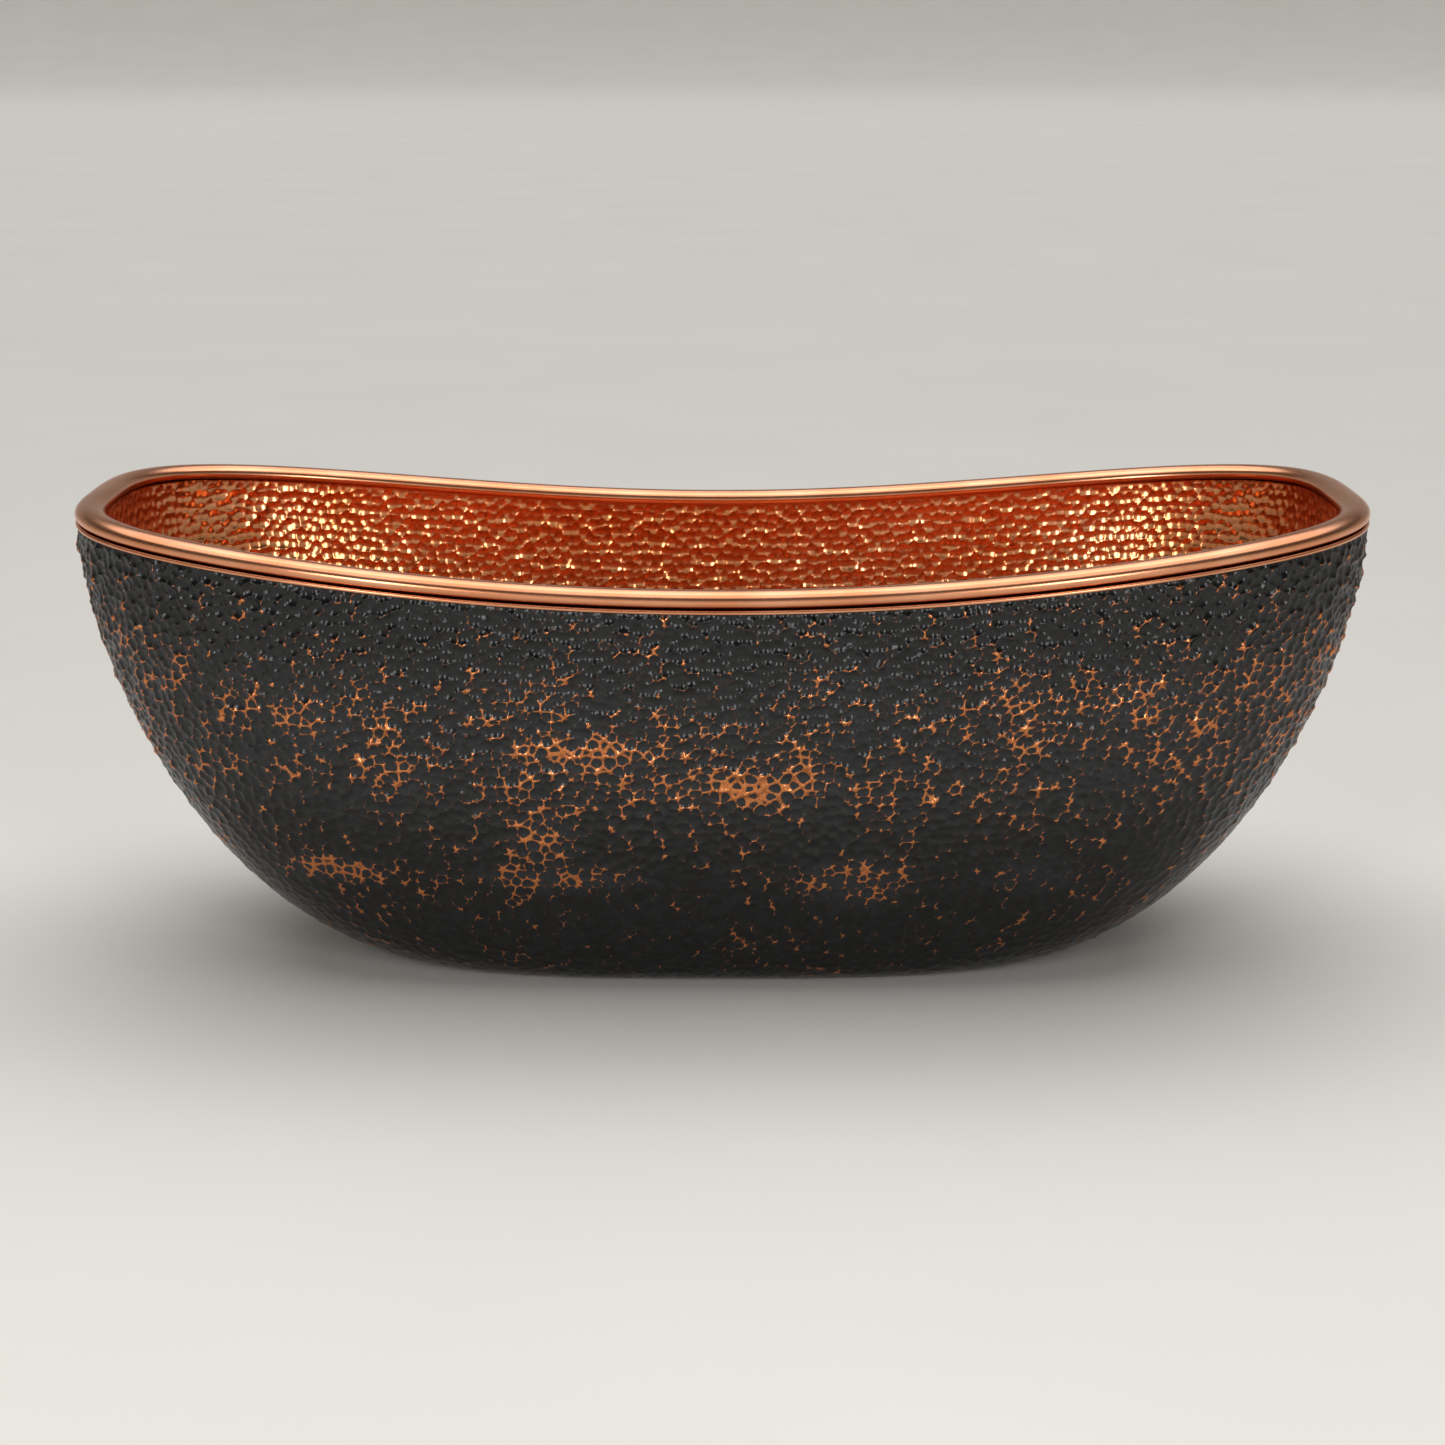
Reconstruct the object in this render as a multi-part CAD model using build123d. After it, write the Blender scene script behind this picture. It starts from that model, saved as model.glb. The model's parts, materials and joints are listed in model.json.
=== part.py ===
from build123d import *
import os
from math import cos, pi, radians, sin

# Double-walled copper bathtub: a hammered outer skin and a hammered basin, both hung from one rolled rim.
# A steel frame on levelling feet stands under the basin, and the waste hangs from the basin's floor.
# Millimetres. X runs along the tub, -Y is its front, Z is up, and the origin is on the floor under its centre.

os.makedirs("parts", exist_ok=True)

# Overall
length = 1829.0
width = 840.0
skin = 2.0  # copper sheet
plan_power = 3.2  # superellipse power of every level line
base_gap = 5.0  # floor to the underside of the skin

# Rim: an oval roll on a steel core tube, with a bead under its outer edge
roll_half_width = 21.0
roll_half_height = 13.5
roll_wall = 2.0
core_radius = 9.0
core_wall = 2.0
bead_radius = 3.0
bead_inset = 4.2  # bead's centre inside the rim's outermost line
bead_drop = 14.2  # bead's centre below the roll's middle
rim_mid_height = 572.5  # middle of the roll, at the long sides
rim_end_height = 645.5  # the same line carried out to the tips
rim_sweep = radians(117)  # how much of a cosine wave the saddle curve takes

# Outer skin
outer_base_half = (460.0, 272.0)
outer_powers = (1.68, 1.75)  # roundness of the side profile: towards the rim, towards the base
outer_inset = 3.4  # skin's top edge inside the rim's outermost line
outer_drop = 17.3  # skin's top edge below the roll's middle
upper_seam = 0.58  # seams, as shares of the rim's height
lower_seam = 0.28

# Basin
basin_floor_height = 98.0  # underside of its floor
basin_floor_half = (430.0, 230.0)
basin_powers = (1.72, 1.85)
basin_inset = 35.4
basin_drop = 10.4
floor_sheet_top = 118.0  # the floor sheet turns up to here
end_sheet_start = 480.0

# Base plate and frame
plate_thickness = 3.0
plate_lift = 0.4
plate_margin = 12.0
rail_size = (860.0, 40.0, 30.0)
rail_wall = 2.5
rail_spread = 150.0
cross_place = 210.0
access_size = (170.0, 130.0)
saddle_places = (-290.0, -120.0, 120.0, 290.0)
saddle_size = (45.0, 330.0)
saddle_wall = 3.0
saddle_pad_thickness = 4.0

# Levelling feet, M12
foot_place = (380.0, 150.0)
foot_hole_radius = 30.0
stud_radius = 5.9
stud_tip_radius = 4.5
stud_top = 84.0
collar_flats = 19.0
collar_height = 2.6
thread_radius = 6.0
bush_radius = 11.0
lock_nut_height = 8.0
pad_radius = 24.0
pad_height = 7.0
tip_depth = 4.5

# Waste
waste_bore = 19.0
barrel_radius = 22.0
barrel_end = 50.0
basin_hole_radius = 22.4
flange_radius = 36.0
flange_thickness = 4.0
gasket_radius = 33.0
gasket_thickness = 2.0
friction_washer = 1.5
waste_nut_flats = 60.0
waste_nut_height = 12.0
tail_radius = 19.05
tail_wall = 1.4
tail_end = 9.0
tail_flange = 1.6
tail_bead = (39.0, 40.6)  # rolled bead that stops a slip joint
tail_bead_radius = 20.6
slip_nut_flats = 54.0
slip_nut_top = 60.0
slip_nut_bottom = 41.0
spider_bar = 3.0
spider_height = 5.0
hub_radius = 7.0

# Stopper
post_radius = 2.6
sleeve_radius = 8.0
sleeve_bore = 6.0
cap_radius = 29.0
cap_height = 6.0
seal_clearance = 0.3
seal_height = 2.6
spring_radius = 4.4
spring_wire = 0.6
spring_pitch = 3.2

above_all = 720.0  # higher than any part of the rim
plan_points = 32
profile_shares = (0.0, 0.008, 0.03, 0.08, 0.17, 0.3, 0.45, 0.62, 0.8, 1.0)

floor_top = basin_floor_height + skin
flange_base = floor_top + gasket_thickness
flange_top = flange_base + flange_thickness
plate_base = base_gap + skin + plate_lift
plate_top = plate_base + plate_thickness
rail_top = plate_top + rail_size[2]


def save(node, *solids):
    shape = solids[0] if len(solids) == 1 else Compound(children=list(solids))
    export_step(shape, f"parts/{node}.step")


# ---- Plain solids ----


def slab(low, high):
    """A box between two corners."""
    centre = [(a + b) / 2 for a, b in zip(low, high)]
    size = [b - a for a, b in zip(low, high)]
    return Pos(*centre) * Box(*size)


def rod(radius, z_low, z_high, x=0.0, y=0.0):
    return Pos(x, y, (z_low + z_high) / 2) * Cylinder(radius, z_high - z_low)


def ring(outer, inner, z_low, z_high, x=0.0, y=0.0):
    return rod(outer, z_low, z_high, x, y) - rod(inner, z_low - 1, z_high + 1, x, y)


def hexagon(flats, z_low, z_high, x=0.0, y=0.0):
    outline = RegularPolygon(flats / 2, 6, major_radius=False)
    return Pos(x, y, z_low) * extrude(outline, amount=z_high - z_low)


# ---- Level lines, the rim's saddle and the wall profiles ----


def plan_point(half_length, half_width, angle):
    """A point of the superellipse with these half sizes, at this angle before it is stretched."""
    c, s = cos(angle), sin(angle)
    reach = (abs(c) ** plan_power + abs(s) ** plan_power) ** (-1 / plan_power)
    return half_length * reach * c, half_width * reach * s


def closed_line(half_length, half_width, height_at, count=plan_points):
    """A closed smooth line over the superellipse, at the height that height_at gives for each x."""
    points = []
    for i in range(count):
        x, y = plan_point(half_length, half_width, 2 * pi * i / count)
        points.append((x, y, height_at(x)))
    steps = [i / count for i in range(count + 1)]
    return Wire([Edge.make_spline(points, parameters=steps, periodic=True)])


def rim_rise(x):
    """Height of the roll's middle line, at this distance along the tub."""
    share = (1 - cos(rim_sweep * x / (length / 2))) / (1 - cos(rim_sweep))
    return rim_mid_height + (rim_end_height - rim_mid_height) * share


def swell(share, powers):
    """How far a wall has swung out, from 0 at its base to 1 at its top, at this share of its height."""
    towards_rim, towards_base = powers
    return (1 - (1 - share) ** towards_rim) ** (1 / towards_base)


def bowl(base_half, base_height, inset, drop, powers, sheet=0.0):
    """A filled bowl from a flat base to the rim and on up, or the same bowl taken in by a sheet's thickness."""
    top_half = (length / 2 - inset, width / 2 - inset)
    span = rim_mid_height - drop - base_height
    wires = []
    for share in profile_shares:
        grown = swell(share, powers)
        lift, draw = sheet_offset(share, top_half[0] - base_half[0], span, powers)
        half = [b + (t - b) * grown - draw * sheet for b, t in zip(base_half, top_half)]

        def height_at(x):
            return base_height + share * (rim_rise(x) - drop - base_height) + lift * sheet

        wires.append(closed_line(*half, height_at))
    wires.append(closed_line(top_half[0] - sheet, top_half[1] - sheet, lambda x: above_all))
    return Solid.make_loft(wires)


def sheet_offset(share, reach, span, powers):
    """Lift and inward draw, per millimetre of sheet, that follow the profile's normal."""
    low, high = max(share - 0.004, 0.0), min(share + 0.004, 1.0)
    rise = (high - low) * span
    run = (swell(high, powers) - swell(low, powers)) * reach
    slope = (rise**2 + run**2) ** 0.5
    return run / slope, rise / slope


def above_line(height_at):
    """Everything above a line that runs along the tub, level from front to back."""
    reach = length / 2 + 60
    points = [(reach * (i / 12 - 1), 0, height_at(reach * (i / 12 - 1))) for i in range(25)]
    corners = [(reach, 0, 2 * above_all), (-reach, 0, 2 * above_all)]
    edges = [Edge.make_spline(points), Edge.make_line(points[-1], corners[0])]
    edges += [Edge.make_line(*corners), Edge.make_line(corners[1], points[0])]
    return extrude(Face(Wire(edges)), amount=width, dir=(0, 1, 0), both=True)


def round_rim(outline, inset, drop=0.0):
    """Sweep an upright outline, drawn at the right-hand tip, all the way round the rim."""
    half = (length / 2 - inset, width / 2 - inset)
    path = closed_line(*half, lambda x: rim_rise(x) - drop, 2 * plan_points)
    guide = closed_line(*half, lambda x: rim_rise(x) - drop + 200, 2 * plan_points)
    tip = Plane(origin=path @ 0, x_dir=(1, 0, 0), z_dir=(0, 1, 0))
    return Solid.sweep((tip * outline).wire(), path, mode=guide)


# ---- Copper skins ----


def outer_skin():
    """The outer skin in five brazed sheets: two upper, two lower and the base bowl."""
    base = (outer_base_half, base_gap, outer_inset, outer_drop, outer_powers)
    top = above_line(lambda x: rim_rise(x) - outer_drop)
    shell = bowl(*base) - bowl(*base, sheet=skin) - top
    for x in (-foot_place[0], foot_place[0]):
        for y in (-foot_place[1], foot_place[1]):
            shell -= rod(foot_hole_radius, 0, plate_top, x, y)
    shell -= slab((-access_size[0] / 2, -access_size[1] / 2, 0), (access_size[0] / 2, access_size[1] / 2, plate_top))
    over_upper = above_line(lambda x: upper_seam * rim_rise(x))
    over_lower = above_line(lambda x: lower_seam * rim_rise(x))
    upper = shell & over_upper
    lower = (shell & over_lower) - over_upper
    save("base_bowl", shell - over_lower)
    save("upper_front_skin", upper & front_half())
    save("upper_back_skin", upper & back_half())
    save("lower_front_skin", lower & front_half())
    save("lower_back_skin", lower & back_half())


def front_half():
    return slab((-length, -width, -1), (length, 0, above_all))


def back_half():
    return slab((-length, 0, -1), (length, width, above_all))


def basin():
    """The basin in five brazed sheets: a floor, two ends and two sides."""
    base = (basin_floor_half, basin_floor_height, basin_inset, basin_drop, basin_powers)
    top = above_line(lambda x: rim_rise(x) - basin_drop)
    shell = bowl(*base) - bowl(*base, sheet=skin) - top
    shell -= rod(basin_hole_radius, basin_floor_height - 5, floor_top + 5)
    under = slab((-length, -width, 0), (length, width, floor_sheet_top))
    walls = shell - under
    save("basin_floor", shell & under)
    save("basin_left_end", walls & slab((-length, -width, 0), (-end_sheet_start, width, above_all)))
    save("basin_right_end", walls & slab((end_sheet_start, -width, 0), (length, width, above_all)))
    save("basin_front", walls & slab((-end_sheet_start, -width, 0), (end_sheet_start, 0, above_all)))
    save("basin_back", walls & slab((-end_sheet_start, 0, 0), (end_sheet_start, width, above_all)))


def rim():
    """Hollow roll, steel core tube inside it, and the bead where roll and outer skin meet."""
    roll_outside = round_rim(Ellipse(roll_half_width, roll_half_height), roll_half_width)
    roll_inside = round_rim(Ellipse(roll_half_width - roll_wall, roll_half_height - roll_wall), roll_half_width)
    save("rim_roll", roll_outside - roll_inside)
    core_outside = round_rim(Circle(core_radius), roll_half_width)
    save("rim_core", core_outside - round_rim(Circle(core_radius - core_wall), roll_half_width))
    save("rim_bead", round_rim(Circle(bead_radius), bead_inset, bead_drop))


# ---- Base plate and frame ----


def base_plate():
    half = [h - plate_margin for h in outer_base_half]
    plate = extrude(Face(closed_line(*half, lambda x: plate_base)), amount=plate_thickness, dir=(0, 0, 1))
    plate -= slab((-access_size[0] / 2, -access_size[1] / 2, 0), (access_size[0] / 2, access_size[1] / 2, rail_top))
    for x in (-foot_place[0], foot_place[0]):
        for y in (-foot_place[1], foot_place[1]):
            plate -= rod(foot_hole_radius, 0, rail_top, x, y)
    save("base_plate", plate)


def rail(y):
    """A box-section rail with the holes for its two bushes."""
    long, wide, tall = rail_size
    outside = slab((-long / 2, y - wide / 2, plate_top), (long / 2, y + wide / 2, rail_top))
    hollow = slab(
        (-long, y - wide / 2 + rail_wall, plate_top + rail_wall),
        (long, y + wide / 2 - rail_wall, rail_top - rail_wall),
    )
    tube = outside - hollow
    for x in (-foot_place[0], foot_place[0]):
        tube -= rod(bush_radius, 0, rail_top + 5, x, y)
    return tube


def cross_member(x):
    wide = rail_size[1]
    reach = rail_spread - wide / 2
    outside = slab((x - wide / 2, -reach, plate_top), (x + wide / 2, reach, rail_top))
    hollow = slab(
        (x - wide / 2 + rail_wall, -reach - 1, plate_top + rail_wall),
        (x + wide / 2 - rail_wall, reach + 1, rail_top - rail_wall),
    )
    return outside - hollow


def saddle(x):
    """A short box section laid across the rails, under the basin."""
    half = (saddle_size[0] / 2, saddle_size[1] / 2)
    top = basin_floor_height - saddle_pad_thickness
    outside = slab((x - half[0], -half[1], rail_top), (x + half[0], half[1], top))
    hollow = slab(
        (x - half[0] + saddle_wall, -half[1] - 1, rail_top + saddle_wall),
        (x + half[0] - saddle_wall, half[1] + 1, top - saddle_wall),
    )
    return outside - hollow


def saddle_pad(x):
    half = (saddle_size[0] / 2, saddle_size[1] / 2)
    top = basin_floor_height
    return slab((x - half[0], -half[1], top - saddle_pad_thickness), (x + half[0], half[1], top))


def frame():
    save("front_rail", rail(-rail_spread))
    save("back_rail", rail(rail_spread))
    save("cross_members", cross_member(-cross_place), cross_member(cross_place))
    for name, x in zip(("left_outer", "left_inner", "right_inner", "right_outer"), saddle_places):
        save(f"{name}_saddle", saddle(x))
    save("saddle_pads", *[saddle_pad(x) for x in saddle_places])


# ---- Levelling feet ----


def foot_stud(x, y):
    """Threaded stud with a spanner collar, its tip turning in the pad."""
    tip = rod(stud_tip_radius, pad_height - tip_depth, pad_height + 1, x, y)
    collar = hexagon(collar_flats, pad_height, pad_height + collar_height, x, y)
    shank = rod(stud_radius, pad_height + 1, stud_top, x, y)
    return tip + collar + shank


def foot_pad(x, y):
    pad = rod(pad_radius, 0, pad_height, x, y)
    pad = chamfer(pad.edges().group_by(Axis.Z)[-1], 2.0)
    return pad - rod(stud_tip_radius + 0.05, pad_height - tip_depth, pad_height + 1, x, y)


def lock_nut(x, y):
    nut = hexagon(collar_flats, rail_top, rail_top + lock_nut_height, x, y)
    return nut - rod(thread_radius, rail_top - 1, rail_top + lock_nut_height + 1, x, y)


def feet():
    places = [(x, y) for y in (-foot_place[1], foot_place[1]) for x in (-foot_place[0], foot_place[0])]
    for name, place in zip(("front_left", "front_right", "back_left", "back_right"), places):
        save(f"{name}_stud", foot_stud(*place))
        save(f"{name}_pad", foot_pad(*place))
    save("foot_bushes", *[ring(bush_radius, thread_radius, plate_top, rail_top, *p) for p in places])
    save("lock_nuts", *[lock_nut(*p) for p in places])


# ---- Waste and stopper ----


def waste_body():
    """Flange and barrel in one brass casting, with a spider across the barrel that carries the stopper's post."""
    flange = rod(flange_radius, flange_base, flange_top)
    flange = chamfer(flange.edges().group_by(Axis.Z)[-1], 1.6)
    casting = flange + rod(barrel_radius, barrel_end, flange_base + 1)
    casting -= rod(waste_bore, barrel_end - 1, flange_top + 1)
    spider_top = barrel_end + spider_height
    reach = barrel_radius - 1
    for half in ((reach, spider_bar / 2), (spider_bar / 2, reach)):
        casting += slab((-half[0], -half[1], barrel_end), (half[0], half[1], spider_top))
    casting += rod(hub_radius, barrel_end, spider_top)
    return casting - rod(post_radius, barrel_end - 1, spider_top + 1)


def waste():
    under = basin_floor_height
    save("waste_body", waste_body())
    save("flange_gasket", ring(gasket_radius, barrel_radius, floor_top, flange_base))
    save("under_gasket", ring(gasket_radius, barrel_radius, under - gasket_thickness, under))
    washer_top = under - gasket_thickness
    nut_top = washer_top - friction_washer
    save("friction_washer", ring(gasket_radius, barrel_radius, nut_top, washer_top))
    nut = hexagon(waste_nut_flats, nut_top - waste_nut_height, nut_top)
    save("waste_nut", nut - rod(barrel_radius, 0, under))
    tail_top = barrel_end - gasket_thickness
    tube = rod(tail_radius, tail_end, tail_top) + rod(barrel_radius - 0.5, tail_top - tail_flange, tail_top)
    tube += rod(tail_bead_radius, *tail_bead)
    save("tailpiece", tube - rod(tail_radius - tail_wall, tail_end - 1, tail_top + 1))
    save("tail_washer", ring(barrel_radius - 0.5, tail_radius - tail_wall, tail_top, barrel_end))
    slip = hexagon(slip_nut_flats, slip_nut_bottom, slip_nut_top) - rod(tail_radius + 0.3, 0, slip_nut_top)
    save("slip_nut", slip - rod(barrel_radius, tail_top - tail_flange, slip_nut_top + 1))


def stopper():
    """Toe-touch stopper: cap and sleeve rise on a fixed post, pushed by a spring inside the sleeve."""
    seal_base = flange_top + seal_clearance
    cap_base = seal_base + seal_height
    cap = rod(cap_radius, cap_base, cap_base + cap_height)
    cap = fillet(cap.edges().group_by(Axis.Z)[-1], 3.0)
    save("stopper_cap", cap)
    save("stopper_seal", ring(cap_radius - 1.5, sleeve_radius, seal_base, cap_base))
    sleeve_end = barrel_end + spider_height + 4
    roof = cap_base - 4
    sleeve = rod(sleeve_radius, sleeve_end, cap_base) - rod(sleeve_bore, sleeve_end - 1, roof)
    save("stopper_sleeve", sleeve)
    collar_top = sleeve_end + 3
    post = rod(post_radius, barrel_end, roof - 5) + rod(sleeve_bore - 0.3, sleeve_end, collar_top)
    save("stopper_post", post)
    turns = int((roof - collar_top - 3) / spring_pitch)
    path = Helix(pitch=spring_pitch, height=turns * spring_pitch, radius=spring_radius)
    wire = Plane(origin=path @ 0, z_dir=path % 0) * Circle(spring_wire)
    coil = Solid.sweep(wire.wire(), path, is_frenet=True)
    save("stopper_spring", Pos(0, 0, collar_top + 1) * coil)


outer_skin()
basin()
rim()
base_plate()
frame()
feet()
waste()
stopper()
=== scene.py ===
import bpy
import bmesh
import json
import numpy as np
from math import cos, pi, radians
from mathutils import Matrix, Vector


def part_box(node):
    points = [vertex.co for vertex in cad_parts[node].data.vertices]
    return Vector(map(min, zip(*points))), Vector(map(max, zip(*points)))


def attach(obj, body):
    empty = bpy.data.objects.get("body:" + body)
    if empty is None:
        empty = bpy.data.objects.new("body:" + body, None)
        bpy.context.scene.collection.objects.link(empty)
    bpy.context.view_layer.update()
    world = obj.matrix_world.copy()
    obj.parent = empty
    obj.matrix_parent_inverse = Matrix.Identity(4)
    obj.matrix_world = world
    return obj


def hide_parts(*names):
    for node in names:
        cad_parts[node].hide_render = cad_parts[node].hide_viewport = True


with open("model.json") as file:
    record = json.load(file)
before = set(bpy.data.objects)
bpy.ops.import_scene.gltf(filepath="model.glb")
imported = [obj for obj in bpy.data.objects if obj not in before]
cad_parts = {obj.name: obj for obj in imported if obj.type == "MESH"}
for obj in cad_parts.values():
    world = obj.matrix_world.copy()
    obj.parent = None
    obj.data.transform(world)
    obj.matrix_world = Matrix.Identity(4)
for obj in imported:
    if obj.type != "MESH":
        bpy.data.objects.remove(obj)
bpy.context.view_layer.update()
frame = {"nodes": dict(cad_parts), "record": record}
print("frame loaded,", len(frame["nodes"]), "nodes")

coarse = 1.0
nudge = 1e-4  # a small step in angle or share, for slopes

# The tub's lines in metres: every level line is a superellipse, and heights follow the rim's saddle
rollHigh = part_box("rim_roll")[1]
tub = {
    "halfLength": rollHigh[0],
    "halfWidth": rollHigh[1],
    "planPower": 3.2,
    "rimMid": 0.5725,
    "rimEnd": 0.6455,
    "rimSweep": radians(117),
}


def planLine(angle):
    c, s = np.cos(angle), np.sin(angle)
    reach = (np.abs(c) ** tub["planPower"] + np.abs(s) ** tub["planPower"]) ** (-1 / tub["planPower"])
    return reach * c, reach * s


def rimRise(x):
    sweep = tub["rimSweep"]
    share = (1 - np.cos(sweep * x / tub["halfLength"])) / (1 - cos(sweep))
    return tub["rimMid"] + (tub["rimEnd"] - tub["rimMid"]) * share


def wallPoint(wall, angle, share):
    # share runs from 0 at the wall's base to 1 at its top edge
    towardsRim, towardsBase = wall["powers"]
    swell = (1 - (1 - share) ** towardsRim) ** (1 / towardsBase)
    across, along = planLine(angle)
    x = across * (wall["baseHalf"][0] + (tub["halfLength"] - wall["inset"] - wall["baseHalf"][0]) * swell)
    y = along * (wall["baseHalf"][1] + (tub["halfWidth"] - wall["inset"] - wall["baseHalf"][1]) * swell)
    z = wall["baseHeight"] + share * (rimRise(x) - wall["drop"] - wall["baseHeight"])
    return np.stack([x, y, z], axis=-1)


def wallNormal(wall, angle, share):
    low, high = np.clip(share - nudge, 0, 1), np.clip(share + nudge, 0, 1)
    along = wallPoint(wall, angle + nudge, share) - wallPoint(wall, angle - nudge, share)
    up = wallPoint(wall, angle, high) - wallPoint(wall, angle, low)
    normal = np.cross(along, up) * wall["faces"]
    return normal / np.linalg.norm(normal, axis=-1, keepdims=True)


def evenAngles(turn):
    # the angle at this share of the way round the rim
    angle = np.linspace(0, 2 * pi, 4001)
    x, y = planLine(angle)
    steps = np.hypot(np.diff(x * tub["halfLength"]), np.diff(y * tub["halfWidth"]))
    walked = np.concatenate([[0], np.cumsum(steps)])
    return np.interp(turn * walked[-1], walked, angle)


def climb(wall):
    # height shares against the distance walked up the wall, averaged over its side, corner and end
    share = np.linspace(0, 1, 1500) ** 2.2  # closer together near the base, where the wall turns most
    walked = np.zeros(len(share))
    for angle in (0.0, 0.9, pi / 2):
        line = wallPoint(wall, np.full(len(share), angle), share)
        steps = np.linalg.norm(np.diff(line, axis=0), axis=1)
        walked += np.concatenate([[0], np.cumsum(steps)]) / 3
    return share, walked


def soften(x, low, high):
    t = np.clip((x - low) / (high - low), 0, 1)
    return t * t * (3 - 2 * t)


def hammerWall(wall, marks, seed):
    # rows of blows that follow the rim: each has its place, and a bonus that makes its mark wide or narrow
    rng = np.random.default_rng(seed)
    share, walked = climb(wall)
    rows = []
    for k in range(int(walked[-1] / marks["rowGap"]) + 3):
        height = (k - 0.5) * marks["rowGap"]
        ring = wallPoint(wall, evenAngles(np.linspace(0, 1, 200)), np.interp(height, walked, share))
        count = int(np.linalg.norm(np.diff(ring, axis=0), axis=1).sum() / marks["blowGap"])
        turn = (np.arange(count) + 0.5 * (k % 2) + rng.uniform(-1, 1, count) * marks["stray"]) / count
        heights = height + rng.uniform(-1, 1, count) * marks["stray"] * marks["rowGap"]
        places = wallPoint(wall, evenAngles(turn % 1.0), np.interp(heights, walked, share))
        rows.append((places, rng.uniform(-1, 1, count) * marks["uneven"]))
    return rows


def untouched(count):
    return {
        "gather": np.zeros(count),
        "slope": np.zeros((count, 3)),
        "first": np.full(count, 1.0),
        "second": np.full(count, 1.0),
    }


def addBlow(hit, points, near, pick, places, bonus, marks):
    away = points[near] - places[pick]
    reach = (away ** 2).sum(axis=1) - bonus[pick]
    weight = np.exp(-reach / marks["ridgeRound"] ** 2)
    hit["gather"][near] += weight
    hit["slope"][near] += weight[:, None] * 2 * away
    hit["second"][near] = np.minimum(hit["second"][near], np.maximum(hit["first"][near], reach))
    hit["first"][near] = np.minimum(hit["first"][near], reach)


def settle(hit, marks):
    # squared distance to the nearest blows, blended, that blend's slope, and the distance to the mark's edge
    gather = np.maximum(hit["gather"], 1e-30)
    border = (hit["second"] - hit["first"]) / (2 * marks["blowGap"])
    return -marks["ridgeRound"] ** 2 * np.log(gather), hit["slope"] / gather[:, None], border


def strikeWall(rows, marks, turn, height, points):
    hit = untouched(len(points))
    rowAt = height / marks["rowGap"] + 0.5
    for k, (places, bonus) in enumerate(rows):
        near = np.abs(rowAt - k) < 2.2  # blows further off leave no mark here
        if near.any():
            count = len(places)
            first = np.floor(turn[near] * count - 0.5 * (k % 2)).astype(int)
            for step in (-1, 0, 1, 2):
                addBlow(hit, points, near, (first + step) % count, places, bonus, marks)
    return settle(hit, marks)


def hammerFloor(half, marks, seed):
    rng = np.random.default_rng(seed)
    nx, ny = int(2 * half[0] / marks["blowGap"]) + 4, int(2 * half[1] / marks["rowGap"]) + 4
    i, j = np.meshgrid(np.arange(nx), np.arange(ny), indexing="ij")
    x = (i + 0.5 * (j % 2) - nx / 2 + rng.uniform(-1, 1, i.shape) * marks["stray"]) * marks["blowGap"]
    y = (j - ny / 2 + rng.uniform(-1, 1, i.shape) * marks["stray"]) * marks["rowGap"]
    return x, y, rng.uniform(-1, 1, i.shape) * marks["uneven"]


def strikeFloor(field, marks, points):
    x, y, bonus = field
    nx, ny = x.shape
    hit = untouched(len(points))
    near = np.ones(len(points), bool)
    j0 = np.round(points[:, 1] / marks["rowGap"] + ny / 2).astype(int)
    i0 = np.round(points[:, 0] / marks["blowGap"] + nx / 2).astype(int)
    places = np.stack([x.ravel(), y.ravel(), np.full(x.size, basinWall["baseHeight"])], axis=-1)
    for dj in (-2, -1, 0, 1, 2):
        for di in (-2, -1, 0, 1, 2):
            pick = np.clip(i0 + di, 0, nx - 1) * ny + np.clip(j0 + dj, 0, ny - 1)
            addBlow(hit, points, near, pick, places, bonus.ravel(), marks)
    return settle(hit, marks)


def press(points, normals, blend, slope, depth, marks):
    # each blow leaves a shallow round hollow, and neighbours meet in a ridge
    reach = marks["reach"] ** 2
    ridge = blend / reach
    pressed = points - normals * (depth * (1 - ridge))[:, None]
    tilt = slope * (depth / reach)[:, None]
    tilt -= normals * (tilt * normals).sum(axis=1)[:, None]
    turned = normals - tilt
    return pressed, turned / np.linalg.norm(turned, axis=1, keepdims=True), ridge


def gridMesh(name, columns, rows):
    bm = bmesh.new()
    bmesh.ops.create_grid(bm, x_segments=columns, y_segments=rows, size=0.5)
    mesh = bpy.data.meshes.new(name)
    bm.to_mesh(mesh)
    bm.free()
    flat = np.zeros(len(mesh.vertices) * 3)
    mesh.vertices.foreach_get("co", flat)
    sheet = flat.reshape(-1, 3)[:, :2] + 0.5
    return mesh, sheet[:, 0], sheet[:, 1]


def place(mesh, points, normals=None):
    mesh.vertices.foreach_set("co", points.ravel())
    mesh.update()
    mesh.polygons.foreach_set("use_smooth", np.ones(len(mesh.polygons), bool))
    if normals is not None:
        mesh.normals_split_custom_set_from_vertices(normals)


def note(mesh, name, values):
    # a per-point number that the materials read
    attribute = mesh.attributes.new(name, "FLOAT", "POINT")
    attribute.data.foreach_set("value", values.astype(np.float32))


def lay(mesh, across, along):
    # a UV map in metres, so that brush lines run round the piece
    corner = np.zeros(len(mesh.loops), int)
    mesh.loops.foreach_get("vertex_index", corner)
    layer = mesh.uv_layers.new(name="lay")
    layer.data.foreach_set("uv", np.stack([across[corner], along[corner]], axis=-1).ravel())


def addPiece(name, mesh, material, slot, *nodes):
    piece = bpy.data.objects.new(name, mesh)
    bpy.context.scene.collection.objects.link(piece)
    mesh.materials.append(material)
    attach(piece, "tub")
    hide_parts(*nodes)


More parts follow.
